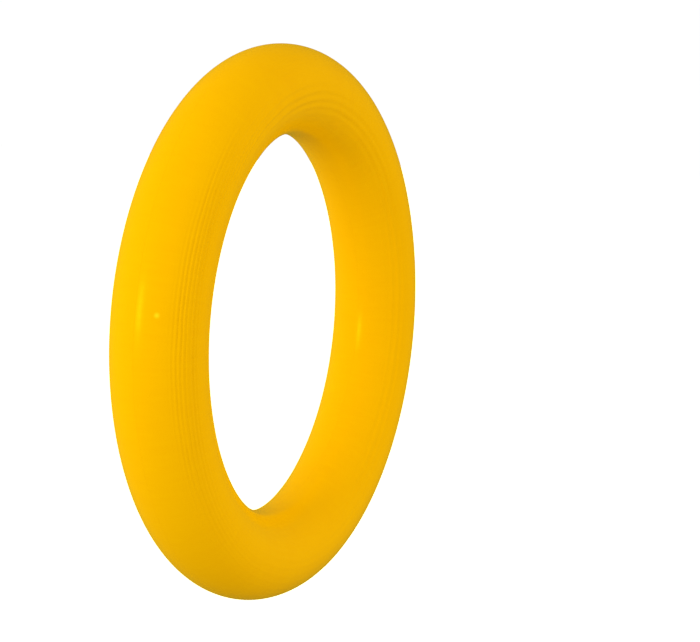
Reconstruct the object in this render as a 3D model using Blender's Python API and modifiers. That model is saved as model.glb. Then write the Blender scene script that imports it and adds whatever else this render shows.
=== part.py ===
"""Hanging gymnastics ring, built the way a moulded ring with a steel core is built.

Two moulded half shells meet on the ring's middle plane. A tongue on the front shell goes into a
groove in the rear shell, outside and inside the tube, and a welded strand at the bottom of each
groove joins them. A round steel bar, bent to a ring and closed with a weld, lies in saddles
moulded into both shells.

The ring stands upright in the XZ plane. Its axis is Y and its front faces -Y. The origin is the
strap seat, the highest point of the hand hole's wall, which a strap carries the ring by.
"""

import math

import bmesh
import bpy
from mathutils import Matrix, Vector

# Overall sizes, in metres.
GRIP_DIAMETER = 0.028
HOLE_DIAMETER = 0.118

# Half shells, and the band of grip ridges round the crown of each.
WALL = 0.004
RIDGES_EACH_SIDE = 4
RIDGE_PITCH = math.radians(10.4)
RIDGE_HEIGHT = 0.00015
REST_LAND_WIDTH = 0.0012

# Tongue-and-groove seam, and the strand welded into the bottom of its groove.
TONGUE_WIDTH = 0.0014
TONGUE_HEIGHT = 0.0016
STRAND_HEIGHT = 0.0008

# Core bar, the weld that closes it, and the saddles that hold it.
CORE_DIAMETER = 0.008
CORE_END_GAP = 0.0036
WELD_CROWN = 0.0008
SADDLE_COUNT = 12
SADDLE_THICKNESS = 0.003
SADDLE_BITE = 0.0005

# Clearances.
FACE_GAP = 0.0003
SADDLE_CLEARANCE = 0.0005

# Facets.
RING_STEPS = 60
OUTER_ARC_STEP = math.radians(15.0)
BORE_ARC_STEPS = 8
SADDLE_ARC_STEPS = 12
CORE_BEVEL_RESOLUTION = 4
CORE_END_STEP = math.radians(1.0)
WELD_STEPS = 16
WELD_ARC_STEPS = 6

# Sizes that follow from the ones above.
TUBE_RADIUS = GRIP_DIAMETER / 2
RING_RADIUS = HOLE_DIAMETER / 2 + TUBE_RADIUS
BORE_RADIUS = TUBE_RADIUS - WALL
SEAM_OFFSET = TUBE_RADIUS - WALL / 2
CORE_RADIUS = CORE_DIAMETER / 2
GROOVE_HALF_WIDTH = TONGUE_WIDTH / 2 + FACE_GAP
GROOVE_DEPTH = TONGUE_HEIGHT + STRAND_HEIGHT + 2 * FACE_GAP

# The sides of the middle plane: the front faces -Y and the rear faces +Y.
FRONT = -1
REAR = 1

MERGE_DISTANCE = 0.00001
SHARP_ANGLE = math.radians(35.0)

# Colour, roughness and metallic value of each finish.
YELLOW_PLASTIC = ((0.81, 0.454, 0.001), 0.28, 0.0)
WELDED_PLASTIC = ((0.80, 0.36, 0.002), 0.5, 0.0)
DRAWN_STEEL = ((0.50, 0.51, 0.53), 0.35, 1.0)
WELD_METAL = ((0.36, 0.35, 0.35), 0.55, 1.0)


def clear_scene():
    for old in list(bpy.data.objects):
        bpy.data.objects.remove(old, do_unlink=True)


def new_collection(name):
    collection = bpy.data.collections.new(name)
    bpy.context.scene.collection.children.link(collection)
    return collection


def new_material(name, finish):
    colour, roughness, metallic = finish
    material = bpy.data.materials.new(name)
    material.use_nodes = True
    shader = material.node_tree.nodes["Principled BSDF"]
    shader.inputs["Base Color"].default_value = (*colour, 1.0)
    shader.inputs["Roughness"].default_value = roughness
    shader.inputs["Metallic"].default_value = metallic
    return material


def on_tube(radius, angle):
    """A point of the tube's section, as an (outwards, to one side) pair."""
    return (radius * math.cos(angle), radius * math.sin(angle))


def arc(radius, start, end, steps):
    """Points of an arc about the tube's centre."""
    return [on_tube(radius, start + (end - start) * step / steps) for step in range(steps + 1)]


def outer_wall():
    """The grip surface of one half, from its outer edge over the crown to its inner edge.

    Grooves between the ridges are as deep as a ridge is high. The middle ridge runs along the
    crown and has a narrow flat land, so that the ring lies flat on its side.
    """
    edge = math.asin(FACE_GAP / 2 / TUBE_RADIUS)
    band_start = math.pi / 2 - (RIDGES_EACH_SIDE + 1) * RIDGE_PITCH
    steps = math.ceil((band_start - edge) / OUTER_ARC_STEP)
    half = arc(TUBE_RADIUS, edge, band_start, steps)
    for ridge in range(RIDGES_EACH_SIDE):
        groove_angle = band_start + (ridge + 0.5) * RIDGE_PITCH
        half.append(on_tube(TUBE_RADIUS - RIDGE_HEIGHT, groove_angle))
        half.append(on_tube(TUBE_RADIUS, groove_angle + RIDGE_PITCH / 2))
    half.append(on_tube(TUBE_RADIUS - RIDGE_HEIGHT, (math.pi - RIDGE_PITCH) / 2))
    half.append((REST_LAND_WIDTH / 2, TUBE_RADIUS))
    return half + [(-outwards, side) for outwards, side in reversed(half)]


def bore_wall():
    """The hollow of one half, from its inner edge round to its outer edge."""
    edge = math.asin(FACE_GAP / 2 / BORE_RADIUS)
    return arc(BORE_RADIUS, math.pi - edge, edge, BORE_ARC_STEPS)


def tongue(outwards):
    """The tongue stands past the middle plane; the points run outwards."""
    half = TONGUE_WIDTH / 2
    return [
        (outwards - half, FACE_GAP / 2),
        (outwards - half, -TONGUE_HEIGHT),
        (outwards + half, -TONGUE_HEIGHT),
        (outwards + half, FACE_GAP / 2),
    ]


def groove(outwards):
    """The groove takes the tongue with the strand under it; the points run outwards."""
    half = GROOVE_HALF_WIDTH
    return [
        (outwards - half, FACE_GAP / 2),
        (outwards - half, GROOVE_DEPTH),
        (outwards + half, GROOVE_DEPTH),
        (outwards + half, FACE_GAP / 2),
    ]


def shell_profile(seam):
    """The closed section of one half shell, where seam makes its tongue or its groove."""
    return outer_wall() + seam(-SEAM_OFFSET) + bore_wall() + seam(SEAM_OFFSET)


def strand_profile(outwards):
    """The closed section of the strand under the tongue."""
    half = TONGUE_WIDTH / 2
    top = TONGUE_HEIGHT + FACE_GAP
    return [
        (outwards + half, top),
        (outwards + half, top + STRAND_HEIGHT),
        (outwards - half, top + STRAND_HEIGHT),
        (outwards - half, top),
    ]


def add_screw(piece, axis, steps):
    screw = piece.modifiers.new("turn", "SCREW")
    screw.axis = axis
    screw.angle = 2 * math.pi
    screw.steps = steps
    screw.render_steps = steps
    screw.use_merge_vertices = True
    screw.merge_threshold = MERGE_DISTANCE
    return screw


def profile_object(name, points, closed, parent, collection):
    """An outline in the XY plane, as edges only, for a Screw modifier to turn."""
    mesh = bpy.data.meshes.new(name)
    outline = bmesh.new()
    verts = [outline.verts.new((x, y, 0.0)) for x, y in points]
    for first, second in zip(verts, verts[1:]):
        outline.edges.new((first, second))
    if closed:
        outline.edges.new((verts[-1], verts[0]))
    outline.to_mesh(mesh)
    outline.free()
    piece = bpy.data.objects.new(name, mesh)
    collection.objects.link(piece)
    piece.parent = parent
    return piece


def turned_ring(name, section, side, parent, collection):
    """A section of the tube turned about the ring's axis, on one side of the middle plane."""
    points = [(RING_RADIUS + outwards, side * across) for outwards, across in section]
    if side == REAR:
        points.reverse()
    piece = profile_object(name, points, True, parent, collection)
    add_screw(piece, "Y", RING_STEPS)
    return piece


def bake_modifiers(piece):
    """Give the piece the mesh that its modifiers make, shaded smooth up to its sharp edges."""
    bpy.context.view_layer.update()
    graph = bpy.context.evaluated_depsgraph_get()
    mesh = bpy.data.meshes.new_from_object(piece.evaluated_get(graph))
    mesh.name = piece.name
    piece.modifiers.clear()
    piece.data = mesh
    mesh.shade_smooth()
    mesh.set_sharp_from_angle(angle=SHARP_ANGLE)


def saddle_mesh():
    """One saddle: a plate across the hollow, with a half-round seat for the core bar.

    Its X is outwards along the ring's radius, its Y is away from the middle plane and its Z
    runs along the tube.
    """
    plate_radius = BORE_RADIUS + SADDLE_BITE
    seat_radius = CORE_RADIUS + SADDLE_CLEARANCE
    plate_edge = math.asin(FACE_GAP / plate_radius)
    seat_edge = math.asin(FACE_GAP / seat_radius)
    outline = arc(plate_radius, plate_edge, math.pi - plate_edge, SADDLE_ARC_STEPS)
    outline += arc(seat_radius, math.pi - seat_edge, seat_edge, SADDLE_ARC_STEPS)
    curve = bpy.data.curves.new("saddle", "CURVE")
    curve.dimensions = "2D"
    curve.fill_mode = "BOTH"
    curve.extrude = SADDLE_THICKNESS / 2
    spline = curve.splines.new("POLY")
    spline.points.add(len(outline) - 1)
    for point, (x, y) in zip(spline.points, outline):
        point.co = (x, y, 0.0, 1.0)
    spline.use_cyclic_u = True
    plate = bpy.data.objects.new("saddle", curve)
    bpy.context.scene.collection.objects.link(plate)
    bpy.context.view_layer.update()
    graph = bpy.context.evaluated_depsgraph_get()
    mesh = bpy.data.meshes.new_from_object(plate.evaluated_get(graph))
    bpy.data.objects.remove(plate)
    return mesh


def saddle_place(turn, side):
    """Where a saddle stands: at an angle round the ring, on one side of the middle plane."""
    outwards = Vector((math.cos(turn), 0.0, math.sin(turn)))
    across = Vector((0.0, side, 0.0))
    along = outwards.cross(across)
    place = Matrix((outwards, across, along)).transposed().to_4x4()
    place.translation = outwards * RING_RADIUS
    return place


def saddle_set(name, side, parent, collection):
    """All the saddles of one half, midway between the ring's quarter points."""
    single = saddle_mesh()
    joined = bmesh.new()
    for number in range(SADDLE_COUNT):
        turn = 2 * math.pi * (number + 0.5) / SADDLE_COUNT
        before = len(joined.verts)
        joined.from_mesh(single)
        joined.verts.ensure_lookup_table()
        added = joined.verts[before:]
        bmesh.ops.transform(joined, matrix=saddle_place(turn, side), verts=added)
    bmesh.ops.remove_doubles(joined, verts=joined.verts, dist=MERGE_DISTANCE)
    bmesh.ops.recalc_face_normals(joined, faces=joined.faces)
    mesh = bpy.data.meshes.new(name)
    joined.to_mesh(mesh)
    joined.free()
    tools = bpy.data.objects.new(name, mesh)
    tools.hide_render = True
    tools.display_type = "WIRE"
    collection.objects.link(tools)
    tools.parent = parent
    return tools


def half_shell(name, side, seam, parent, parts, cutters):
    """One moulded half: its turned wall, with the saddles joined to it."""
    shell = turned_ring(name, shell_profile(seam), side, parent, parts)
    saddles = saddle_set(f"{name}_saddles", side, parent, cutters)
    join = shell.modifiers.new("saddles", "BOOLEAN")
    join.operation = "UNION"
    join.solver = "EXACT"
    join.object = saddles
    bake_modifiers(shell)
    shell.data.materials.append(new_material(name, YELLOW_PLASTIC))
    return shell


def seam_strand(name, outwards, parent, parts):
    """The strand welded into the bottom of one groove."""
    strand = turned_ring(name, strand_profile(outwards), REAR, parent, parts)
    bake_modifiers(strand)
    strand.data.materials.append(new_material(name, WELDED_PLASTIC))
    return strand


def core_bar(parent, parts):
    """The round bar, bent to a ring that stays open by a welding gap at the bottom."""
    half_gap = math.asin(CORE_END_GAP / 2 / RING_RADIUS)
    start = -math.pi / 2 + half_gap
    end = 3 * math.pi / 2 - half_gap
    span = end - start - 2 * CORE_END_STEP
    turns = [start + CORE_END_STEP + span * step / RING_STEPS for step in range(RING_STEPS + 1)]
    turns = [start, *turns, end]
    curve = bpy.data.curves.new("core_bar", "CURVE")
    curve.dimensions = "3D"
    curve.bevel_depth = CORE_RADIUS
    curve.bevel_resolution = CORE_BEVEL_RESOLUTION
    curve.use_fill_caps = True
    spline = curve.splines.new("POLY")
    spline.points.add(len(turns) - 1)
    for point, turn in zip(spline.points, turns):
        point.co = (RING_RADIUS * math.cos(turn), 0.0, RING_RADIUS * math.sin(turn), 1.0)
    spline.use_smooth = True
    bar = bpy.data.objects.new("core_bar", curve)
    parts.objects.link(bar)
    bar.parent = parent
    curve.materials.append(new_material("core_bar", DRAWN_STEEL))
    return bar


def core_weld(parent, parts):
    """The weld that fills the bar's gap, a little proud of the bar all round."""
    wedge = CORE_RADIUS * CORE_END_GAP / 2 / RING_RADIUS
    half_length = CORE_END_GAP / 2 - FACE_GAP - wedge
    bead = [(half_length, 0.0)]
    for step in range(WELD_ARC_STEPS + 1):
        turn = math.pi * step / WELD_ARC_STEPS
        crown = WELD_CROWN * math.sin(turn)
        bead.append((half_length * math.cos(turn), CORE_RADIUS + crown))
    bead.append((-half_length, 0.0))
    weld = profile_object("core_weld", bead, False, parent, parts)
    weld.location = (0.0, 0.0, -RING_RADIUS)
    add_screw(weld, "X", WELD_STEPS)
    bake_modifiers(weld)
    weld.data.materials.append(new_material("core_weld", WELD_METAL))
    return weld


def main():
    clear_scene()
    parts = new_collection("gymnastics_ring")
    cutters = new_collection("cutters")
    centre = bpy.data.objects.new("ring_centre", None)
    centre.location = (0.0, 0.0, -HOLE_DIAMETER / 2)
    parts.objects.link(centre)
    half_shell("front_shell", FRONT, tongue, centre, parts, cutters)
    half_shell("rear_shell", REAR, groove, centre, parts, cutters)
    seam_strand("outer_seam_weld", SEAM_OFFSET, centre, parts)
    seam_strand("inner_seam_weld", -SEAM_OFFSET, centre, parts)
    core_bar(centre, parts)
    core_weld(centre, parts)


main()
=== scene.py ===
"""The looks of a hanging gymnastics ring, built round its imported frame.

The two moulded half shells get their rounded grip ridges and a seam that is welded flush. The core
bar, its weld and the seam strands inside them get fine meshes of their own. Every length is in
metres and in the frame's axes: the ring stands upright in the XZ plane and its front faces -Y.
"""

import logging
import math
from collections.abc import Mapping, Sequence
from dataclasses import dataclass
from enum import Enum
from typing import Any

import bpy
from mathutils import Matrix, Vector


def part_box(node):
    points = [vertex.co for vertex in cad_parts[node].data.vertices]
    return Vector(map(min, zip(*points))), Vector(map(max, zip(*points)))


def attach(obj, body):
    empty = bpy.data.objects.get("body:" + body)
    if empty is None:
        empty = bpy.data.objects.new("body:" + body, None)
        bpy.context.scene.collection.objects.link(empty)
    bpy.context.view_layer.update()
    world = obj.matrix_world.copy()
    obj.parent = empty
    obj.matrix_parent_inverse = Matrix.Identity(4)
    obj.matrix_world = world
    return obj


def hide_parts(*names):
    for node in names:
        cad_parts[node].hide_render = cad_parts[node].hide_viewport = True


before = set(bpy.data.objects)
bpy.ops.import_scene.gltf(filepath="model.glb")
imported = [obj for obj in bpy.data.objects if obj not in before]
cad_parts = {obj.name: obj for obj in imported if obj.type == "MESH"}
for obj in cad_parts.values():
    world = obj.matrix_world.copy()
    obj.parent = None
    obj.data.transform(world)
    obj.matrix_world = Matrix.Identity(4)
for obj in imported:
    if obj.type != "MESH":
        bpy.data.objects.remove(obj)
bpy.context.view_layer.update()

LOG = logging.getLogger("gymnastics_ring")
BODY = "root"
MERGE_DISTANCE = 1e-7
SHARP_ANGLE = math.radians(30.0)
TAU = 2 * math.pi
MIX_FACTOR, MIX_FIRST, MIX_SECOND, MIX_RESULT = 0, 6, 7, 2

Point = tuple[float, float]
Colour = tuple[float, float, float]


class Side(Enum):
    """The two sides of the ring's middle plane, as the sign of Y."""

    FRONT = -1
    REAR = 1


class SocketKind(Enum):
    """Kinds of input that a geometry tree can have."""

    FLOAT = "NodeSocketFloat"
    INTEGER = "NodeSocketInt"
    VECTOR = "NodeSocketVector"
    MATERIAL = "NodeSocketMaterial"


class Wire:
    """An output socket that maths can be written with, in shader and geometry trees alike."""

    def __init__(self, graph: "Graph", socket: bpy.types.NodeSocket) -> None:
        """Keep the socket and the graph that it belongs to.

        Args:
            graph: The graph that new nodes are added to.
            socket: The output socket that this stands for.
        """
        self.graph = graph
        self.socket = socket

    @property
    def is_vector(self) -> bool:
        """Whether the socket carries a vector."""
        return self.socket.type == "VECTOR"

    def __add__(self, other: "Wire | float") -> "Wire":
        """Return self + other."""
        return self.graph.maths("ADD", self, other)

    def __radd__(self, other: float) -> "Wire":
        """Return other + self."""
        return self.graph.maths("ADD", other, self)

    def __sub__(self, other: "Wire | float") -> "Wire":
        """Return self - other."""
        return self.graph.maths("SUBTRACT", self, other)

    def __rsub__(self, other: float) -> "Wire":
        """Return other - self."""
        return self.graph.maths("SUBTRACT", other, self)

    def __mul__(self, other: "Wire | float") -> "Wire":
        """Return self * other, where a vector times a number is scaled."""
        return self.graph.maths("MULTIPLY", self, other)

    def __rmul__(self, other: float) -> "Wire":
        """Return other * self."""
        return self.graph.maths("MULTIPLY", self, other)

    def __truediv__(self, other: "Wire | float") -> "Wire":
        """Return self / other."""
        return self.graph.maths("DIVIDE", self, other)

    def __rtruediv__(self, other: float) -> "Wire":
        """Return other / self."""
        return self.graph.maths("DIVIDE", other, self)

    def __neg__(self) -> "Wire":
        """Return -self."""
        return self.graph.maths("SUBTRACT", 0.0, self)

    def __mod__(self, other: "Wire | float") -> "Wire":
        """Return the remainder of self / other."""
        return self.graph.maths("MODULO", self, other)

    def __lt__(self, other: "Wire | float") -> "Wire":
        """Return 1 where self is less than other, and 0 elsewhere."""
        return self.graph.maths("LESS_THAN", self, other)

    def __gt__(self, other: "Wire | float") -> "Wire":
        """Return 1 where self is greater than other, and 0 elsewhere."""
        return self.graph.maths("GREATER_THAN", self, other)

    def __abs__(self) -> "Wire":
        """Return the absolute value."""
        return self.graph.maths("ABSOLUTE", self)

    def clamped(self) -> "Wire":
        """Return self, kept from 0 to 1."""
        return self.graph.maths("ADD", self, 0.0, clamp=True)

    def eased(self) -> "Wire":
        """Return self, kept from 0 to 1 and eased in and out."""
        kept = self.clamped()
        return kept * kept * (3.0 - 2.0 * kept)


class Step:
    """A node whose outputs are read by name or number."""

    def __init__(self, graph: "Graph", node: bpy.types.Node) -> None:
        """Keep the node and the graph that it belongs to.

        Args:
            graph: The graph that the node is in.
            node: The node.
        """
        self.graph = graph
        self.node = node

    def __getitem__(self, key: str | int) -> Wire:
        """Return one output."""
        return Wire(self.graph, self.node.outputs[key])


class Graph:
    """A node tree under construction."""

    def __init__(self, tree: bpy.types.NodeTree) -> None:
        """Start on a tree.

        Args:
            tree: The shader or geometry tree to add nodes to.
        """
        self.tree = tree

    def node(
        self,
        kind: str,
        settings: Mapping[str, Any] | None = None,
        sockets: Mapping[str | int, Any] | None = None,
    ) -> Step:
        """Add a node.

        Args:
            kind: The node's type.
            settings: The node's own settings, set first. "stops" are a colour ramp's stops.
            sockets: Values or wires for its inputs, by name or number.

        Returns:
            The node.
        """
        made = self.tree.nodes.new(kind)
        for name, value in (settings or {}).items():
            if name == "stops":
                self.set_stops(made.color_ramp, value)
            else:
                setattr(made, name, value)
        for key, value in (sockets or {}).items():
            self.feed(made.inputs[key], value)
        return Step(self, made)

    def feed(self, socket: bpy.types.NodeSocket, value: Any) -> None:
        """Give an input its value.

        Args:
            socket: The input.
            value: A wire to link, or a plain value.
        """
        if isinstance(value, Wire):
            self.tree.links.new(value.socket, socket)
        else:
            socket.default_value = value

    @staticmethod
    def set_stops(ramp: bpy.types.ColorRamp, stops: Sequence[tuple[float, float]]) -> None:
        """Set a grey ramp's stops.

        Args:
            ramp: The colour ramp, which starts with two stops.
            stops: Pairs of position and grey value, two or more.
        """
        for position, _ in stops[2:]:
            ramp.elements.new(position)
        for element, (position, grey) in zip(ramp.elements, stops):
            element.position = position
            element.color = (grey, grey, grey, 1.0)

    def maths(self, operation: str, *operands: "Wire | float", clamp: bool = False) -> Wire:
        """Add a Math node, or a Vector Math node where an operand is a vector.

        Args:
            operation: The node's operation.
            operands: Wires or numbers, in order.
            clamp: Whether the result is kept from 0 to 1.

        Returns:
            The result.
        """
        vectors = [isinstance(one, Wire) and one.is_vector for one in operands]
        if not any(vectors):
            settings = {"operation": operation, "use_clamp": clamp}
            return self.node("ShaderNodeMath", settings, dict(enumerate(operands)))["Value"]
        if operation == "MULTIPLY" and not all(vectors):
            vector, scale = operands if vectors[0] else reversed(operands)
            scaled = {0: vector, "Scale": scale}
            return self.node("ShaderNodeVectorMath", {"operation": "SCALE"}, scaled)["Vector"]
        settings = {"operation": operation}
        return self.node("ShaderNodeVectorMath", settings, dict(enumerate(operands)))["Vector"]

    def cosine(self, angle: Wire) -> Wire:
        """Return the cosine of an angle in radians."""
        return self.maths("COSINE", angle)

    def sine(self, angle: Wire) -> Wire:
        """Return the sine of an angle in radians."""
        return self.maths("SINE", angle)

    def joined(self, x: "Wire | float", y: "Wire | float", z: "Wire | float") -> Wire:
        """Return the vector of three numbers."""
        return self.node("ShaderNodeCombineXYZ", None, {0: x, 1: y, 2: z})["Vector"]

    def parted(self, vector: Wire) -> tuple[Wire, Wire, Wire]:
        """Return a vector's three numbers."""
        step = self.node("ShaderNodeSeparateXYZ", None, {0: vector})
        return step["X"], step["Y"], step["Z"]

    def noise(
        self,
        vector: Wire,
        scale: float,
        detail: float = 2.0,
        roughness: float = 0.5,
        seed: "Wire | float" = 0.0,
    ) -> Wire:
        """Add a noise of four dimensions, whose last one is the seed.

        Args:
            vector: Where the noise is read.
            scale: How many features there are in a unit of length.
            detail: How many finer layers are added.
            roughness: How strong the finer layers are.
            seed: Which of its many patterns it is.

        Returns:
            The noise, about 0.5 and mostly from 0.3 to 0.7.
        """
        sockets = {
            "Vector": vector,
            "W": seed,
            "Scale": scale,
            "Detail": detail,
            "Roughness": roughness,
        }
        return self.node("ShaderNodeTexNoise", {"noise_dimensions": "4D"}, sockets)[0]

    def mixed(self, share: "Wire | float", first: Any, second: Any) -> Wire:
        """Mix two colours.

        Args:
            share: The second colour's share, from 0 to 1.
            first: A colour or a wire.
            second: A colour or a wire.

        Returns:
            The mixed colour.
        """
        sockets = {MIX_FACTOR: share, MIX_FIRST: first, MIX_SECOND: second}
        return self.node("ShaderNodeMix", {"data_type": "RGBA"}, sockets)[MIX_RESULT]


class GeometryTree(Graph):
    """A Geometry Nodes tree with named inputs, run once to make a plain mesh."""

    def __init__(self, name: str) -> None:
        """Start an empty tree.

        Args:
            name: The tree's name.
        """
        super().__init__(bpy.data.node_groups.new(name, "GeometryNodeTree"))
        self.tree.is_modifier = True
        for direction in ("INPUT", "OUTPUT"):
            self.tree.interface.new_socket(
                "Geometry", in_out=direction, socket_type="NodeSocketGeometry"
            )
        self.entry = self.node("NodeGroupInput")
        self.identifiers: dict[str, str] = {}

    def input(self, name: str, kind: SocketKind) -> Wire:
        """Declare a named input.

        Args:
            name: The input's name.
            kind: What it carries.

        Returns:
            The input's value inside the tree.
        """
        socket = self.tree.interface.new_socket(name, in_out="INPUT", socket_type=kind.value)
        self.identifiers[name] = socket.identifier
        return self.entry[name]

    def close(self, geometry: Wire, material: Wire) -> None:
        """End the tree with real, dressed geometry.

        Args:
            geometry: What the tree has made.
            material: The material that it is made of.
        """
        real = self.node("GeometryNodeRealizeInstances", None, {"Geometry": geometry})
        sockets = {"Geometry": real["Geometry"], "Material": material}
        dressed = self.node("GeometryNodeSetMaterial", None, sockets)
        self.node("NodeGroupOutput", None, {"Geometry": dressed["Geometry"]})

    def run(
        self, name: str, base: bpy.types.Mesh, values: Mapping[str, Any]
    ) -> bpy.types.Object:
        """Make one piece.

        Args:
            name: The piece's name.
            base: The mesh that goes into the tree.
            values: The value of each named input.

        Returns:
            An object with a plain mesh and no modifier.
        """
        piece = bpy.data.objects.new(name, base)
        bpy.context.scene.collection.objects.link(piece)
        modifier = piece.modifiers.new(self.tree.name, "NODES")
        modifier.node_group = self.tree
        for key, value in values.items():
            modifier[self.identifiers[key]] = value
        return made_plain(piece)


def made_plain(piece: bpy.types.Object) -> bpy.types.Object:
    """Replace a piece's mesh and modifiers by the mesh that they make.

    Args:
        piece: The object.

    Returns:
        The same object, smooth up to its sharp edges.
    """
    bpy.context.view_layer.update()
    graph = bpy.context.evaluated_depsgraph_get()
    mesh = bpy.data.meshes.new_from_object(piece.evaluated_get(graph))
    piece.modifiers.clear()
    piece.data = mesh
    mesh.name = piece.name
    mesh.shade_smooth()
    mesh.set_sharp_from_angle(angle=SHARP_ANGLE)
    return piece


def outline_mesh(name: str, points: Sequence[Point]) -> bpy.types.Mesh:
    """Make a mesh that only holds an outline's points, in order.

    Args:
        name: The mesh's name.
        points: Pairs of outwards and across.

    Returns:
        The mesh.
    """
    mesh = bpy.data.meshes.new(name)
    mesh.from_pydata([(outwards, across, 0.0) for outwards, across in points], [], [])
    return mesh


class TurnedTree(GeometryTree):
    """Turns an outline round an axis, with a relief that a subclass may give it.

    The outline is the tree's own geometry: points whose X is outwards from the path and whose Y
    is across it, along the axis.
    """

    def __init__(self, name: str) -> None:
        """Build the tree.

        Args:
            name: The tree's name.
        """
        super().__init__(name)
        steps = self.input("Steps Around", SocketKind.INTEGER)
        outline_steps = self.input("Outline Steps", SocketKind.INTEGER)
        outline_points = self.input("Outline Points", SocketKind.INTEGER)
        centre = self.input("Centre", SocketKind.VECTOR)
        axis = self.input("Axis", SocketKind.VECTOR)
        start = self.input("Start Direction", SocketKind.VECTOR)
        path_radius = self.input("Path Radius", SocketKind.FLOAT)
        material = self.input("Material", SocketKind.MATERIAL)
        self.seed = self.input("Seed", SocketKind.FLOAT)
        grid_sockets = {
            "Size X": 1.0,
            "Size Y": 1.0,
            "Vertices X": steps + 1.0,
            "Vertices Y": outline_steps + 1.0,
        }
        grid = self.node("GeometryNodeMeshGrid", None, grid_sockets)
        along, over, _ = self.parted(self.node("GeometryNodeInputPosition")["Position"])
        turn = (along + 0.5) * TAU
        order = self.maths("ROUND", (over + 0.5) * outline_steps) % outline_points
        spot = self.node(
            "GeometryNodeSampleIndex",
            {"data_type": "FLOAT_VECTOR", "domain": "POINT"},
            {
                "Geometry": self.entry["Geometry"],
                "Value": self.node("GeometryNodeInputPosition")["Position"],
                "Index": order,
            },
        )["Value"]
        outwards, across, _ = self.parted(spot)
        outwards, across = self.relief(turn, outwards, across, order)
        aside = self.maths("CROSS_PRODUCT", axis, start)
        reach = path_radius + outwards
        place = centre + start * (reach * self.cosine(turn))
        place = place + aside * (reach * self.sine(turn)) + axis * across
        moved = self.node(
            "GeometryNodeSetPosition", None, {"Geometry": grid["Mesh"], "Position": place}
        )
        merged = self.node(
            "GeometryNodeMergeByDistance",
            None,
            {"Geometry": moved["Geometry"], "Distance": MERGE_DISTANCE},
        )
        self.close(merged["Geometry"], material)

    def relief(
        self, turn: Wire, outwards: Wire, across: Wire, order: Wire
    ) -> tuple[Wire, Wire]:
        """Shape the surface; the plain turned form has no relief.

        Args:
            turn: The angle round the axis.
            outwards: Each point's distance outwards from the path.
            across: Each point's distance along the axis.
            order: Each point's number in the outline.

        Returns:
            The new outwards and across.
        """
        return outwards, across

    def turned(
        self,
        name: str,
        points: Sequence[Point],
        closed: bool,
        values: Mapping[str, Any],
    ) -> bpy.types.Object:
        """Turn one outline.

        Args:
            name: The piece's name.
            points: The outline, inside to the left of its run.
            closed: Whether the last point joins the first; if not, both lie on the axis.
            values: The value of each other input.

        Returns:
            The piece.
        """
        counts = {
            "Outline Points": len(points),
            "Outline Steps": len(points) if closed else len(points) - 1,
        }
        return self.run(name, outline_mesh(name, points), {**counts, **values})


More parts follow.
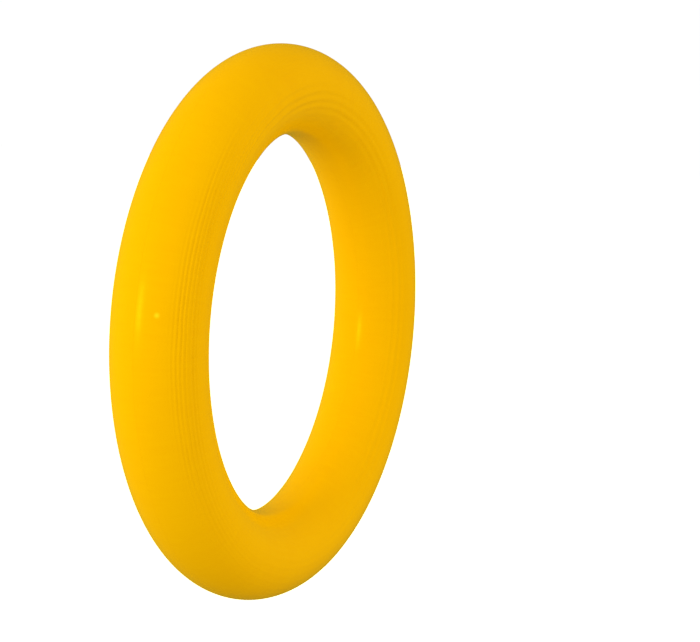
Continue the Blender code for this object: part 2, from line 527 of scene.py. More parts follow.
class RidgedShellTree(TurnedTree):
    """A turned shell whose skin has grooves between low ridges round the crown."""

    DRIFT_SCALE = 5.0
    DRIFT_SPREAD = 0.35
    WEAR_SCALE = 3.2
    WEAR_SPREAD = 1.7
    WEAR_FLOOR = 0.10
    WEAR_SEED = 3.1
    WEAR_GAIN = 3.0
    WEAR_OFFSET = 0.6
    CRISP_MIDDLE = 0.9
    CRISP_SHIFT = 3.0
    CRISP_RETURN = 0.6
    CRISP_HALF_WIDTH = 1.4
    CRISP_NARROWING = 0.35
    CRISP_REACH = 1.5
    ARM_START = 0.1
    TOP_PULL = 0.6
    LEFT_PULL = 0.75
    FAR_ARM_SHARE = 0.15
    RIGHT_ARM_GAIN = 0.6
    EVEN_SHARE = 0.4
    UNEVEN_SHARE = 0.8
    FINE_START = 0.1
    FINE_SLOPE = 1.4
    FINE_SHARE = 0.92
    BAND_SLOPE = 2.0

    def relief(
        self, turn: Wire, outwards: Wire, across: Wire, order: Wire
    ) -> tuple[Wire, Wire]:
        """Press the grooves into the skin.

        The ridges waver a little along the ring and fork into finer ones on its left arm. They
        are crisp in a band that crosses from the outer side of the left arm to the inner side
        of the right arm, where they are lower, and worn nearly smooth outside it.

        Args:
            turn: The angle round the axis.
            outwards: Each point's distance outwards from the path.
            across: Each point's distance along the axis.
            order: Each point's number in the outline.

        Returns:
            The new outwards and across.
        """
        tube_radius = self.input("Tube Radius", SocketKind.FLOAT)
        skin_points = self.input("Skin Points", SocketKind.INTEGER)
        pitch = self.input("Ridge Pitch", SocketKind.FLOAT)
        height = self.input("Ridge Height", SocketKind.FLOAT)
        each_side = self.input("Ridges Each Side", SocketKind.FLOAT)
        waver = self.input("Waver", SocketKind.FLOAT)
        round_tube = self.maths("ARCTAN2", abs(across), outwards)
        ridge = (round_tube - math.pi / 2) / pitch
        ring_x, ring_z = self.cosine(turn), -self.sine(turn)

        def field(spread: float, scale: float, offset: float) -> Wire:
            """Return a noise that closes on itself round the ring.

            Args:
                spread: How fast it changes from ridge to ridge.
                scale: How fast it changes along the ring.
                offset: A number that makes it differ from the other fields.

            Returns:
                The noise, from about 0.3 to 0.7.
            """
            where = self.joined(ring_x, ring_z, ridge * (spread / scale))
            return self.noise(where, scale, 2.0, 0.5, self.seed + offset)

        drift = (field(self.DRIFT_SPREAD, self.DRIFT_SCALE, 0.0) - 0.5) * waver
        patches = field(self.WEAR_SPREAD, self.WEAR_SCALE, self.WEAR_SEED)
        uneven = (patches * self.WEAR_GAIN - self.WEAR_OFFSET).clamped()
        middle = self.CRISP_MIDDLE + ring_x * self.CRISP_SHIFT - abs(ring_x) * self.CRISP_RETURN
        off_crisp = abs(ridge - middle)
        half_width = self.CRISP_HALF_WIDTH - ring_x * self.CRISP_NARROWING
        crisp = (self.CRISP_REACH - off_crisp / half_width).eased()
        near_arm = (self.ARM_START + ring_z * self.TOP_PULL - ring_x * self.LEFT_PULL).eased()
        arm = self.FAR_ARM_SHARE + (1.0 - self.FAR_ARM_SHARE) * near_arm
        arm = arm + self.RIGHT_ARM_GAIN * ring_x.eased()
        kept = crisp * arm * (self.EVEN_SHARE + self.UNEVEN_SHARE * uneven)
        wear = self.WEAR_FLOOR + (1.0 - self.WEAR_FLOOR) * kept
        fine = (-(ring_x + self.FINE_START) * self.FINE_SLOPE).eased() * self.FINE_SHARE
        phase = (ridge + drift) * TAU
        groove = 0.5 - 0.5 * self.cosine(phase)
        fine_groove = 0.5 - 0.5 * self.cosine(phase * 2.0)
        band = ((each_side + 1.0 - abs(ridge)) * self.BAND_SLOPE).eased()
        on_skin = order < skin_points
        pressed = groove * (1.0 - fine) + fine_groove * fine
        depth = height * band * on_skin * wear * pressed
        keep = 1.0 - depth / tube_radius
        return outwards * keep, across * keep


class SwollenTree(TurnedTree):
    """A turned strand of melted plastic, a little fuller in some places than in others."""

    SCALE = 26.0

    def relief(
        self, turn: Wire, outwards: Wire, across: Wire, order: Wire
    ) -> tuple[Wire, Wire]:
        """Draw the strand in towards its own middle by a varying share.

        Args:
            turn: The angle round the axis.
            outwards: Each point's distance outwards from the path.
            across: Each point's distance along the axis.
            order: Each point's number in the outline.

        Returns:
            The new outwards and across.
        """
        thinning = self.input("Thinning", SocketKind.FLOAT)
        middle = self.input("Strand Middle", SocketKind.FLOAT)
        where = self.joined(self.cosine(turn), self.sine(turn), 0.0)
        amount = self.noise(where, self.SCALE, 3.0, 0.6, self.seed)
        keep = 1.0 - thinning * amount
        return outwards * keep, middle + (across - middle) * keep


class BeadTree(TurnedTree):
    """A weld bead, with the overlapping ripples of a torch that went round the bar."""

    LEAN = 0.9

    def relief(
        self, turn: Wire, outwards: Wire, across: Wire, order: Wire
    ) -> tuple[Wire, Wire]:
        """Press the ripples into the bead.

        Args:
            turn: The angle round the bar.
            outwards: Each point's distance from the bar's middle.
            across: Each point's distance along the bar.
            order: Each point's number in the outline.

        Returns:
            The new outwards and across.
        """
        ripples = self.input("Ripples", SocketKind.FLOAT)
        ripple_depth = self.input("Ripple Depth", SocketKind.FLOAT)
        half_length = self.input("Half Length", SocketKind.FLOAT)
        bar_radius = self.input("Bar Radius", SocketKind.FLOAT)
        share = across / half_length
        curve = self.LEAN * (1.0 - share * share)
        wave = abs(self.sine((turn * ripples + curve) * 0.5))
        proud = ((outwards - bar_radius) / ripple_depth).clamped()
        return outwards - ripple_depth * proud * (1.0 - wave), across


class SaddleTree(GeometryTree):
    """Sets a saddle plate at even turns round the ring."""

    def __init__(self) -> None:
        """Build the tree."""
        super().__init__("saddle_row")
        count = self.input("Count", SocketKind.INTEGER)
        centre = self.input("Centre", SocketKind.VECTOR)
        radius = self.input("Ring Radius", SocketKind.FLOAT)
        material = self.input("Material", SocketKind.MATERIAL)
        number = self.node("GeometryNodeInputIndex")["Index"]
        turn = (number + 0.5) * TAU / count
        outwards = self.joined(self.cosine(turn), 0.0, self.sine(turn))
        seats = self.node(
            "GeometryNodePoints", None, {"Count": count, "Position": centre + outwards * radius}
        )
        facing = self.node(
            "FunctionNodeEulerToRotation", None, {"Euler": self.joined(0.0, -turn, 0.0)}
        )
        plates = self.node(
            "GeometryNodeInstanceOnPoints",
            None,
            {
                "Points": seats[0],
                "Instance": self.entry["Geometry"],
                "Rotation": facing["Rotation"],
            },
        )
        self.close(plates["Instances"], material)


class BarTree(GeometryTree):
    """Sweeps a round bar along an open arc of the ring and closes its ends."""

    def __init__(self) -> None:
        """Build the tree."""
        super().__init__("bent_bar")
        steps = self.input("Steps Around", SocketKind.INTEGER)
        sides = self.input("Sides", SocketKind.INTEGER)
        centre = self.input("Centre", SocketKind.VECTOR)
        radius = self.input("Ring Radius", SocketKind.FLOAT)
        bar_radius = self.input("Bar Radius", SocketKind.FLOAT)
        half_gap = self.input("Half Gap Angle", SocketKind.FLOAT)
        material = self.input("Material", SocketKind.MATERIAL)
        path = self.node(
            "GeometryNodeCurveArc",
            {"mode": "RADIUS"},
            {
                "Resolution": steps,
                "Radius": radius,
                "Start Angle": half_gap - math.pi / 2,
                "Sweep Angle": TAU - 2.0 * half_gap,
            },
        )
        section = self.node(
            "GeometryNodeCurvePrimitiveCircle",
            {"mode": "RADIUS"},
            {"Resolution": sides, "Radius": bar_radius},
        )
        swept = self.node(
            "GeometryNodeCurveToMesh",
            None,
            {"Curve": path["Curve"], "Profile Curve": section["Curve"], "Fill Caps": True},
        )
        upright = self.node(
            "GeometryNodeTransform",
            None,
            {
                "Geometry": swept["Mesh"],
                "Translation": centre,
                "Rotation": (math.pi / 2, 0.0, 0.0),
            },
        )
        self.close(upright["Geometry"], material)


def new_shader(name: str) -> tuple[bpy.types.Material, Graph, bpy.types.Node]:
    """Start a material.

    Args:
        name: The material's name.

    Returns:
        The material, its graph and its Principled node.
    """
    material = bpy.data.materials.new(name)
    material.use_nodes = True
    tree = material.node_tree
    return material, Graph(tree), tree.nodes["Principled BSDF"]


def add_bump(
    graph: Graph, shader: bpy.types.Node, height: Wire, distance: float
) -> None:
    """Give a shader a fine surface texture.

    Args:
        graph: The material's graph.
        shader: The Principled node.
        height: The texture's height, from 0 to 1.
        distance: What a height of 1 stands for, in metres.
    """
    sockets = {"Strength": 1.0, "Distance": distance, "Height": height}
    graph.feed(shader.inputs["Normal"], graph.node("ShaderNodeBump", None, sockets)["Normal"])


@dataclass(frozen=True)
class MouldedPlastic:
    """Glossy moulded plastic, coloured right through, with faint flow lines along the ring.

    Args:
        name: The material's name.
        colour: The plain colour.
        flow_colour: The slightly deeper colour in the flow lines.
        speck_colour: The colour of rare specks in the plastic.
        roughness: The roughness of the moulded skin.
        seed: Which of its many patterns it is.
    """

    name: str
    colour: Colour
    flow_colour: Colour
    speck_colour: Colour
    roughness: float
    seed: float
    specular: float = 0.15
    gloss_tint: Colour = (1.0, 0.8, 0.1)
    flow_scale: float = 130.0
    cloud_scale: float = 22.0
    skin_scale: float = 1500.0
    skin_depth: float = 0.000012
    speck_scale: float = 130.0
    speck_size: float = 0.05
    speck_share: float = 0.035
    speck_strength: float = 0.6
    flow_share: float = 0.55
    contrast: float = 2.2
    middle_tone: float = 0.45
    flow_relief: float = 0.5
    flow_drift: float = 0.004
    flow_wander: float = 0.5
    speck_pit: float = 2.0
    roughness_spread: float = 0.09
    # Size and colour of the painted highlight: a pale spot painted into the colour in place of a
    # lamp's glint.
    painted_glint_radius: float = 0.0012
    painted_glint_colour: Colour = (1.0, 0.64, 0.06)

    def build(self, centre: Vector, painted_glint: Vector | None = None) -> bpy.types.Material:
        """Make the material.

        Args:
            centre: The ring's centre, which the flow lines go round.
            painted_glint: The middle of a painted highlight, a pale spot in the colour that stands
                in for a small lamp's glint, if there is one.

        Returns:
            The material.
        """
        material, graph, shader = new_shader(self.name)
        place = graph.node("ShaderNodeTexCoord")["Object"]
        cloud = graph.noise(place, self.cloud_scale, 3.0, 0.55, self.seed)
        flow = self.flow_lines(graph, place, centre)
        cloud_share = 1.0 - self.flow_share
        tone = flow * self.flow_share + cloud * cloud_share - 0.5
        toned = tone * self.contrast + self.middle_tone
        colour = graph.mixed(toned.clamped(), (*self.colour, 1.0), (*self.flow_colour, 1.0))
        speck = self.specks(graph, place)
        colour = graph.mixed(speck * self.speck_strength, colour, (*self.speck_colour, 1.0))
        # Painted highlight: blend a pale spot into the colour where a small lamp's glint would
        # fall.
        if painted_glint is not None:
            away = graph.maths("SUBTRACT", place, tuple(painted_glint))
            reach = graph.node("ShaderNodeVectorMath", {"operation": "LENGTH"}, {0: away})["Value"]
            glint_mask = (1.0 - reach / self.painted_glint_radius).eased()
            colour = graph.mixed(glint_mask, colour, (*self.painted_glint_colour, 1.0))
        skin = graph.noise(place, self.skin_scale, 2.0, 0.5, self.seed + 2.0)
        rough = self.roughness + (cloud + flow - 1.0) * self.roughness_spread
        graph.feed(shader.inputs["Base Color"], colour)
        graph.feed(shader.inputs["Roughness"], rough)
        shader.inputs["Specular IOR Level"].default_value = self.specular
        shader.inputs["Specular Tint"].default_value = (*self.gloss_tint, 1.0)
        height = skin + flow * self.flow_relief - speck * self.speck_pit
        add_bump(graph, shader, height, self.skin_depth)
        return material

    def flow_lines(self, graph: Graph, place: Wire, centre: Vector) -> Wire:
        """Return a noise drawn out along the ring.

        Args:
            graph: The material's graph.
            place: The position in the frame.
            centre: The ring's centre.

        Returns:
            The noise, about 0.5.
        """
        offset = graph.maths("SUBTRACT", place, tuple(centre))
        x, y, z = graph.parted(offset)
        reach = graph.maths("SQRT", x * x + z * z)
        turn = graph.maths("ARCTAN2", z, x)
        where = graph.joined(reach, y, graph.cosine(turn) * self.flow_drift)
        wander = graph.sine(turn) * self.flow_wander + self.seed
        return graph.noise(where, self.flow_scale, 2.0, 0.6, wander)

    def specks(self, graph: Graph, place: Wire) -> Wire:
        """Return 1 in the few specks and 0 elsewhere.

        Args:
            graph: The material's graph.
            place: The position in the frame.

        Returns:
            The mask.
        """
        sockets = {"Vector": place, "Scale": self.speck_scale}
        cells = graph.node("ShaderNodeTexVoronoi", {"feature": "F1"}, sockets)
        chance, _, _ = graph.parted(cells["Color"])
        return (cells["Distance"] < self.speck_size) * (chance < self.speck_share)


@dataclass(frozen=True)
class DrawnSteel:
    """Bare drawn steel bar, with fine lines along its length and a little rust bloom.

    Args:
        name: The material's name.
        colour: The metal's colour.
        bloom_colour: The colour where the surface has bloomed.
        roughness: The roughness of the clean metal.
        seed: Which of its many patterns it is.
    """

    name: str
    colour: Colour
    bloom_colour: Colour
    roughness: float
    seed: float
    line_scale: float = 900.0
    bloom_scale: float = 45.0
    bloom_start: float = 0.56
    bloom_slope: float = 6.0
    bloom_strength: float = 0.5
    line_roughness: float = 0.15
    bloom_roughness: float = 0.2
    line_depth: float = 0.00002

    def build(self, centre: Vector) -> bpy.types.Material:
        """Make the material.

        Args:
            centre: The ring's centre, which the drawing lines go round.

        Returns:
            The material.
        """
        material, graph, shader = new_shader(self.name)
        place = graph.node("ShaderNodeTexCoord")["Object"]
        x, y, z = graph.parted(graph.maths("SUBTRACT", place, tuple(centre)))
        reach = graph.maths("SQRT", x * x + z * z)
        lines = graph.noise(graph.joined(reach, y, 0.0), self.line_scale, 3.0, 0.6, self.seed)
        bloom = graph.noise(place, self.bloom_scale, 4.0, 0.6, self.seed + 1.0)
        bloomed = ((bloom - self.bloom_start) * self.bloom_slope).eased()
        cover = bloomed * self.bloom_strength
        colour = graph.mixed(cover, (*self.colour, 1.0), (*self.bloom_colour, 1.0))
        graph.feed(shader.inputs["Base Color"], colour)
        rough = self.roughness + lines * self.line_roughness + bloomed * self.bloom_roughness
        graph.feed(shader.inputs["Roughness"], rough)
        graph.feed(shader.inputs["Metallic"], 1.0 - cover)
        add_bump(graph, shader, lines, self.line_depth)
        return material


@dataclass(frozen=True)
class RingSizes:
    """Sizes that the pieces share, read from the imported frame.

    Args:
        centre: The ring's centre.
        ring_radius: The radius of the tube's centreline.
        tube_radius: The radius of the tube.
    """

    centre: Vector
    ring_radius: float
    tube_radius: float

    @classmethod
    def from_frame(cls) -> "RingSizes":
        """Read the sizes from the boxes of the two half shells."""
        low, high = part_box("front_shell")[0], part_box("rear_shell")[1]
        tube_radius = (high.y - low.y) / 2
        return cls((low + high) / 2, (high.x - low.x) / 2 - tube_radius, tube_radius)

    def span(self, node: str) -> tuple[float, float]:
        """Measure a node's distances from the ring's axis.

        Args:
            node: The node's name.

        Returns:
            The least and the greatest distance.
        """
        points = [vertex.co - self.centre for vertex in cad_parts[node].data.vertices]
        reaches = [math.hypot(point.x, point.z) for point in points]
        return min(reaches), max(reaches)

    def on_ring(self) -> dict[str, Any]:
        """Return the values that place a turned tree on the ring's own axis."""
        return {
            "Centre": self.centre,
            "Axis": (0.0, 1.0, 0.0),
            "Start Direction": (1.0, 0.0, 0.0),
            "Path Radius": self.ring_radius,
        }


def half_depth(node: str) -> float:
    """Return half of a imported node's depth along the ring's axis.

    Args:
        node: The node's name.

    Returns:
        The half depth, which is the radius of a round piece.
    """
    low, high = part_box(node)
    return (high.y - low.y) / 2


def arc(radius: float, angles: Sequence[float]) -> list[Point]:
    """Return the points of an arc about the tube's centre.

    Args:
        radius: The arc's radius.
        angles: The angle of each point from straight outwards, in radians.

    Returns:
        Pairs of outwards and across.
    """
    return [(radius * math.cos(angle), radius * math.sin(angle)) for angle in angles]


def spaced(start: float, end: float, steps: int) -> list[float]:
    """Return evenly spaced numbers, both ends included.

    Args:
        start: The first number.
        end: The last number.
        steps: How many gaps there are between them.

    Returns:
        The numbers.
    """
    return [start + (end - start) * step / steps for step in range(steps + 1)]


def place_piece(piece: bpy.types.Object, slot: str, *nodes: str) -> bpy.types.Object:
    """Ride a finished piece on the ring's body and name what it stands for.

    Args:
        piece: The finished piece.
        slot: The material slot in the record.
        nodes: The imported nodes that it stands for.

    Returns:
        The piece.
    """
    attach(piece, BODY)
    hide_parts(*nodes)
    faces = len(piece.data.polygons)
    LOG.info("%s stands for %s, %d faces, slot %s", piece.name, ", ".join(nodes), faces, slot)
    return piece


@dataclass
class HalfShell:
    """One moulded half of the tube, with its grip ridges, seam edges and core saddles."""

    sizes: RingSizes
    side: Side
    node: str
    finish: MouldedPlastic
    slot: str
    seed: float
    wall: float = 0.004
    seam_gap: float = 0.000004
    seam_break: float = 0.000012
    edge_break: float = 0.00015
    ridges_each_side: int = 4
    ridge_pitch: float = math.radians(10.4)
    ridge_height: float = 0.0002
    ridge_waver: float = 0.35
    ridge_samples: int = 10
    steps_around: int = 480
    bore_steps: int = 22
    saddle_count: int = 12
    saddle_thickness: float = 0.003
    saddle_bite: float = 0.0005
    saddle_clearance: float = 0.0005
    saddle_steps: int = 24
    # Where the painted highlight sits: its turn round the ring and its angle round the tube.
    painted_glint_turn: float | None = None
    painted_glint_angle: float = 0.0

    def painted_glint(self) -> Vector | None:
        """Return the middle of the painted highlight on the skin, if this half has one."""
        if self.painted_glint_turn is None:
            return None
        outwards = Vector((math.cos(self.painted_glint_turn), 0.0, math.sin(self.painted_glint_turn)))
        reach = self.sizes.ring_radius + self.sizes.tube_radius * math.cos(self.painted_glint_angle)
        across = self.side.value * self.sizes.tube_radius * math.sin(self.painted_glint_angle)
        return self.sizes.centre + outwards * reach + Vector((0.0, across, 0.0))

    def skin(self) -> list[Point]:
        """Return the grip surface, from the outer seam over the crown to the inner seam.

        The steps close in on both seams, so that the two halves shade as one surface.
        """
        radius = self.sizes.tube_radius
        first = math.asin(self.seam_break / radius)
        band_start = math.pi / 2 - (self.ridges_each_side + 1) * self.ridge_pitch
        lead_in = [first, first + math.radians(0.04), math.radians(0.5), math.radians(1.5)]
        plain = spaced(math.radians(3.0), band_start, 14)[:-1]
        band_steps = (self.ridges_each_side + 1) * self.ridge_samples
        band = spaced(band_start, math.pi / 2, band_steps)
        half = lead_in + plain + band
        return arc(radius, half + [math.pi - angle for angle in reversed(half[:-1])])

    def seam_edge(self, outwards: float) -> list[Point]:
        """Return the tongue, or the groove that takes it, at one seam.

        Args:
            outwards: Where the seam's middle is, outwards from the tube's centre.

        Returns:
            Points that run outwards, with broken corners.
        """
        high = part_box(self.node)[1]
        face = self.seam_gap / 2
        if self.side is Side.FRONT:
            half, level = self.tongue_half_width(), -high.y
        else:
            half, level = self.groove_half_width(), self.groove_depth()
        cut = self.edge_break if level > 0 else -self.edge_break
        return [
            (outwards - half, face),
            (outwards - half, level - cut),
            (outwards - half + self.edge_break, level),
            (outwards + half - self.edge_break, level),
            (outwards + half, level - cut),
            (outwards + half, face),
        ]

    def tongue_half_width(self) -> float:
        """Return half the width of the strand, which the tongue shares."""
        inner, outer = self.sizes.span("outer_seam_weld")
        return (outer - inner) / 2

    def groove_half_width(self) -> float:
        """Return half the groove's width: the tongue with a running gap at each side."""
        return self.tongue_half_width() + self.groove_gap()

    def groove_gap(self) -> float:
        """Return the gap between the tongue's end and the strand under it."""
        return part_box("outer_seam_weld")[0].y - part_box("front_shell")[1].y

    def groove_depth(self) -> float:
        """Return the groove's depth, which leaves the same gap under the strand."""
        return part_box("outer_seam_weld")[1].y + self.groove_gap()

    def outline(self) -> list[Point]:
        """Return the half's closed section, its skin first."""
        seam = self.sizes.tube_radius - self.wall / 2
        bore_radius = self.sizes.tube_radius - self.wall
        edge = math.asin(self.seam_gap / 2 / bore_radius)
        bore = arc(bore_radius, spaced(math.pi - edge, edge, self.bore_steps))
        rim = self.sizes.tube_radius - self.seam_break
        face = self.seam_gap / 2
        inner = [(-rim, face), *self.seam_edge(-seam)]
        outer = [*self.seam_edge(seam), (rim, face)]
        return [*self.skin(), *inner, *bore, *outer]

    def saddle_plate(self) -> bpy.types.Mesh:
        """Return one saddle as a closed plate: X outwards, Y across and Z along the tube."""
        core_radius = half_depth("core_bar")
        plate_radius = self.sizes.tube_radius - self.wall + self.saddle_bite
        seat_radius = core_radius + self.saddle_clearance
        lift = self.saddle_clearance / 2
        plate_edge = math.asin(lift / plate_radius)
        seat_edge = math.asin(lift / seat_radius)
        rim = arc(plate_radius, spaced(plate_edge, math.pi - plate_edge, self.saddle_steps))
        seat = arc(seat_radius, spaced(math.pi - seat_edge, seat_edge, self.saddle_steps))
        sign, half = self.side.value, self.saddle_thickness / 2
        outline = [*rim, *seat]
        count, steps = len(outline), self.saddle_steps
        near = [(x, sign * y, -half) for x, y in outline]
        far = [(x, sign * y, half) for x, y in outline]
        faces = []
        for one in range(count):
            two = (one + 1) % count
            faces.append((one, two, two + count, one + count))
        for one in range(steps):
            opposite = count - 1 - one
            faces.append((one, opposite, opposite - 1, one + 1))
            faces.append((one + count, one + 1 + count, opposite - 1 + count, opposite + count))
        mesh = bpy.data.meshes.new(f"{self.node}_saddle")
        mesh.from_pydata([*near, *far], [], faces)
        if self.side is Side.FRONT:
            mesh.flip_normals()
        return mesh

    def build(self, shells: RidgedShellTree, saddles: SaddleTree) -> bpy.types.Object:
        """Make the half.

        Args:
            shells: The tree that turns the ridged wall.
            saddles: The tree that sets the saddles.

        Returns:
            The finished piece.
        """
        material = self.finish.build(self.sizes.centre, self.painted_glint())
        outline = [(outwards, self.side.value * across) for outwards, across in self.outline()]
        values = {
            **self.sizes.on_ring(),
            "Steps Around": self.steps_around,
            "Material": material,
            "Seed": self.seed,
            "Tube Radius": self.sizes.tube_radius,
            "Skin Points": len(self.skin()),
            "Ridge Pitch": self.ridge_pitch,
            "Ridge Height": self.ridge_height,
            "Ridges Each Side": float(self.ridges_each_side),
            "Waver": self.ridge_waver,
        }
        shell = shells.turned(f"{self.node}_moulding", outline, True, values)
        if self.side is Side.FRONT:
            shell.data.flip_normals()
        row_values = {
            "Count": self.saddle_count,
            "Centre": self.sizes.centre,
            "Ring Radius": self.sizes.ring_radius,
            "Material": material,
        }
        row = saddles.run(f"{self.node}_saddles", self.saddle_plate(), row_values)
        join = shell.modifiers.new("saddles", "BOOLEAN")
        join.operation = "UNION"
        join.solver = "MANIFOLD"
        join.object = row
        made_plain(shell)
        bpy.data.objects.remove(row)
        return place_piece(shell, self.slot, self.node)


@dataclass
class SeamStrand:
    """The welded strand at the bottom of one groove."""

    sizes: RingSizes
    node: str
    finish: MouldedPlastic
    slot: str
    seed: float
    corner_steps: int = 4
    corner_share: float = 0.6
    thinning: float = 0.12
    steps_around: int = 360

    def outline(self) -> list[Point]:
        """Return the strand's section, about its own middle, with rounded corners."""
        inner, outer = self.sizes.span(self.node)
        low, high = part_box(self.node)
        half_width, half_height = (outer - inner) / 2, (high.y - low.y) / 2
        corner = half_height * self.corner_share
        middle = (low.y + high.y) / 2
        points: list[Point] = []
        for quarter in range(4):
            across_sign = 1 if quarter in (0, 1) else -1
            out_sign = 1 if quarter in (0, 3) else -1
            start = quarter * math.pi / 2
            for angle in spaced(start, start + math.pi / 2, self.corner_steps):
                outwards = out_sign * (half_width - corner) + corner * math.cos(angle)
                across = across_sign * (half_height - corner) + corner * math.sin(angle)
                points.append((outwards, middle + across))
        return points

    def build(self, strands: SwollenTree) -> bpy.types.Object:
        """Make the strand.

        Args:
            strands: The tree that turns it.

        Returns:
            The finished piece.
        """
        inner, outer = self.sizes.span(self.node)
        low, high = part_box(self.node)
        values = {
            **self.sizes.on_ring(),
            "Path Radius": (inner + outer) / 2,
            "Steps Around": self.steps_around,
            "Material": self.finish.build(self.sizes.centre),
            "Seed": self.seed,
            "Thinning": self.thinning,
            "Strand Middle": (low.y + high.y) / 2,
        }
        piece = strands.turned(f"{self.node}_strand", self.outline(), True, values)
        return place_piece(piece, self.slot, self.node)


@dataclass
class SteelCore:
    """The bent steel bar and the weld that closes it."""

    sizes: RingSizes
    bar_finish: DrawnSteel
    weld_finish: DrawnSteel
    bar_slot: str
    weld_slot: str
    end_gap: float = 0.0036
    end_break: float = 0.0004
    bar_steps: int = 300
    bar_sides: int = 40
    bead_steps: int = 120
    bead_samples: int = 24
    ripples: float = 17.0
    ripple_depth: float = 0.00022

    def bar_radius(self) -> float:
        """Return the bar's radius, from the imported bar's thickness."""
        return half_depth("core_bar")

    def build_bar(self, bars: BarTree) -> bpy.types.Object:
        """Make the bar.

        Args:
            bars: The tree that sweeps it.

        Returns:
            The finished piece.
        """
        values = {
            "Steps Around": self.bar_steps,
            "Sides": self.bar_sides,
            "Centre": self.sizes.centre,
            "Ring Radius": self.sizes.ring_radius,
            "Bar Radius": self.bar_radius(),
            "Half Gap Angle": math.asin(self.end_gap / 2 / self.sizes.ring_radius),
            "Material": self.bar_finish.build(self.sizes.centre),
        }
        piece = bars.run("core_bar_steel", bpy.data.meshes.new("core_bar_path"), values)
        bevel = piece.modifiers.new("broken_ends", "BEVEL")
        bevel.width = self.end_break
        bevel.segments = 2
        bevel.limit_method = "ANGLE"
        bevel.angle_limit = math.radians(60.0)
        return place_piece(made_plain(piece), self.bar_slot, "core_bar")

    def build_weld(self, beads: BeadTree) -> bpy.types.Object:
        """Make the weld.

        Args:
            beads: The tree that turns it.

        Returns:
            The finished piece.
        """
        low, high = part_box("core_weld")
        half_length = (high.x - low.x) / 2
        crown = half_depth("core_weld") - self.bar_radius()
        outline: list[Point] = [(0.0, -half_length)]
        for angle in spaced(math.pi, 0.0, self.bead_samples):
            reach = self.bar_radius() + crown * math.sin(angle)
            outline.append((reach, half_length * math.cos(angle)))
        outline.append((0.0, half_length))
        values = {
            "Centre": (low + high) / 2,
            "Axis": (1.0, 0.0, 0.0),
            "Start Direction": (0.0, 1.0, 0.0),
            "Path Radius": 0.0,
            "Steps Around": self.bead_steps,
            "Material": self.weld_finish.build(self.sizes.centre),
            "Seed": 0.0,
            "Ripples": self.ripples,
            "Ripple Depth": self.ripple_depth,
            "Half Length": half_length,
            "Bar Radius": self.bar_radius(),
        }
        piece = beads.turned("core_weld_bead", outline, False, values)
        return place_piece(piece, self.weld_slot, "core_weld")


@dataclass(frozen=True)
class SoftLight:
    """A rectangular studio light that faces the ring.

    Args:
        name: The light's name.
        direction: Where it stands, as a direction from the ring's centre.
        distance: How far away it stands, in metres.
        width: Its width in metres.
        height: Its height in metres.
        radiance: How bright its face is.
        colour: The colour of its light.
    """

    name: str
    direction: tuple[float, float, float]
    distance: float
    width: float
    height: float
    radiance: float
    colour: Colour = (1.0, 1.0, 0.1)

    def build(self, target: Vector) -> None:
        """Make the light.

        Args:
            target: The point that it faces.
        """
        light = bpy.data.lights.new(self.name, "AREA")
        light.shape = "RECTANGLE"
        light.color = self.colour
        light.size = self.width
        light.size_y = self.height
        light.energy = self.radiance * math.pi * self.width * self.height
        lamp = bpy.data.objects.new(self.name, light)
        back = Vector(self.direction).normalized()
        lamp.location = target + back * self.distance
        lamp.rotation_euler = back.to_track_quat("Z", "Y").to_euler()
        lamp.visible_camera = False
        bpy.context.scene.collection.objects.link(lamp)


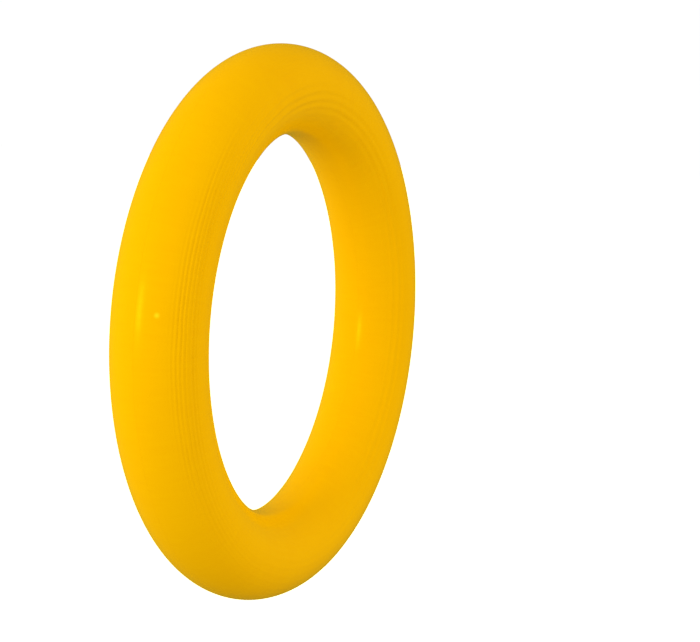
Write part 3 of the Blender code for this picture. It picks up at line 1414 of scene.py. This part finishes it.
@dataclass
class Studio:
    """The floor, the lights and the camera."""

    sizes: RingSizes
    floor_drop: float = 0.62
    floor_half_width: float = 6.0
    swing: float = math.radians(-64.69)
    tilt: float = math.radians(10.39)
    depth: float = 8.369
    aside: float = 0.307
    above: float = 0.0075
    lens: float = 99.95
    room_colour: Colour = (1.0, 0.90, 0.10)
    mirrored_share: float = 0.27
    glows: tuple[Point, ...] = ((0.88, 1.17), (1.42, 1.90), (0.40, 0.97))
    screen_strength: float = 1.02

    def build(self) -> None:
        """Make the whole stage."""
        self.build_floor()
        self.build_world()
        self.build_camera()
        key = SoftLight("key_strip", (-0.932, 0.319, 0.200), 1.3, 0.19, 0.34, 27.0)
        key.build(self.sizes.centre)
        settings = bpy.context.scene.view_settings
        settings.view_transform = "Standard"
        settings.look = "None"

    def build_floor(self) -> None:
        """Make the plain pale floor, well below the hanging ring."""
        half = self.floor_half_width
        level = self.sizes.centre.z - self.floor_drop
        corners = [(-half, -half), (half, -half), (half, half), (-half, half)]
        mesh = bpy.data.meshes.new("floor")
        mesh.from_pydata([(x, y, level) for x, y in corners], [], [(0, 1, 2, 3)])
        material, graph, shader = new_shader("pale_floor")
        shader.inputs["Base Color"].default_value = (0.9, 0.9, 0.9, 1.0)
        shader.inputs["Roughness"].default_value = 0.9
        shader.inputs["Emission Color"].default_value = (1.0, 1.0, 1.0, 1.0)
        shader.inputs["Emission Strength"].default_value = 1.0
        mesh.materials.append(material)
        floor = bpy.data.objects.new("floor", mesh)
        floor.visible_diffuse = False
        floor.visible_glossy = False
        bpy.context.scene.collection.objects.link(floor)

    def build_world(self) -> None:
        """Make the yellow glow that lights the ring; the camera sees it as a plain white screen."""
        world = bpy.data.worlds.new("white_room")
        bpy.context.scene.world = world
        world.use_nodes = True
        graph = Graph(world.node_tree)
        background = world.node_tree.nodes["Background"]
        toward = graph.node("ShaderNodeTexCoord")["Generated"]
        parts = [self.glow(axis, *pair) for axis, pair in zip(graph.parted(toward), self.glows)]
        glow = parts[0] + parts[1] + parts[2]
        rays = graph.node("ShaderNodeLightPath")
        seen, mirrored = rays["Is Camera Ray"], rays["Is Glossy Ray"]
        glow = glow * (1.0 - mirrored * (1.0 - self.mirrored_share))
        room, screen = (*self.room_colour, 1.0), (1.0, 1.0, 1.0, 1.0)
        graph.feed(background.inputs["Color"], graph.mixed(seen, room, screen))
        graph.feed(background.inputs["Strength"], glow * (1.0 - seen) + seen * self.screen_strength)

    @staticmethod
    def glow(axis: Wire, behind: float, ahead: float) -> Wire:
        """Return one axis's share of the room's brightness.

        Args:
            axis: The part of the direction that lies along the axis, from -1 to 1.
            behind: How bright the room is straight down the axis.
            ahead: How bright it is straight up the axis.

        Returns:
            The share.
        """
        return axis * axis * (behind + (axis > 0.0) * (ahead - behind))

    def build_camera(self) -> None:
        """Make the camera that looks at the ring's front from the left."""
        lens = bpy.data.cameras.new("camera")
        lens.lens = self.lens
        camera = bpy.data.objects.new("camera", lens)
        camera.rotation_euler = (math.pi / 2 - self.tilt, 0.0, self.swing)
        turn = camera.rotation_euler.to_matrix()
        right, up, back = turn.col
        offset = right * self.aside + up * self.above + back * self.depth
        camera.location = self.sizes.centre + offset * self.sizes.ring_radius
        bpy.context.scene.collection.objects.link(camera)
        bpy.context.scene.camera = camera


def main() -> None:
    """Build the ring's pieces in order, then the stage."""
    logging.basicConfig(level=logging.INFO, format="%(name)s: %(message)s")
    sizes = RingSizes.from_frame()
    yellow = {
        "colour": (0.81, 0.454, 0.001),
        "flow_colour": (0.79, 0.424, 0.001),
        "speck_colour": (0.35, 0.15, 0.01),
        "roughness": 0.235,
    }
    front_plastic = MouldedPlastic("front_moulded_plastic", seed=1.0, **yellow)
    rear_plastic = MouldedPlastic("rear_moulded_plastic", seed=5.0, **yellow)
    weld_colours = {**yellow, "colour": (0.80, 0.36, 0.002), "roughness": 0.42}
    outer_melt = MouldedPlastic("outer_melt", seed=9.0, **weld_colours)
    inner_melt = MouldedPlastic("inner_melt", seed=11.0, **weld_colours)
    steel = DrawnSteel("drawn_steel", (0.50, 0.51, 0.53), (0.24, 0.15, 0.09), 0.28, 1.0)
    weld_metal = DrawnSteel("weld_metal", (0.36, 0.35, 0.35), (0.20, 0.13, 0.10), 0.42, 4.0)
    shells, saddles = RidgedShellTree("ridged_shell"), SaddleTree()
    front = HalfShell(sizes, Side.FRONT, "front_shell", front_plastic, "front_plastic", 2.0)
    # The painted highlight on the front half, where a small lamp near the camera would glint.
    front.painted_glint_turn, front.painted_glint_angle = math.radians(168.9), math.radians(26.0)
    rear = HalfShell(sizes, Side.REAR, "rear_shell", rear_plastic, "rear_plastic", 14.0)
    for shell in (front, rear):
        shell.build(shells, saddles)
    strands = SwollenTree("melted_strand")
    SeamStrand(sizes, "outer_seam_weld", outer_melt, "weld_plastic", 1.0).build(strands)
    SeamStrand(sizes, "inner_seam_weld", inner_melt, "weld_plastic", 6.0).build(strands)
    core = SteelCore(sizes, steel, weld_metal, "core_steel", "weld_steel")
    core.build_bar(BarTree())
    core.build_weld(BeadTree("weld_bead"))
    Studio(sizes).build()


if __name__ == "__main__":
    main()
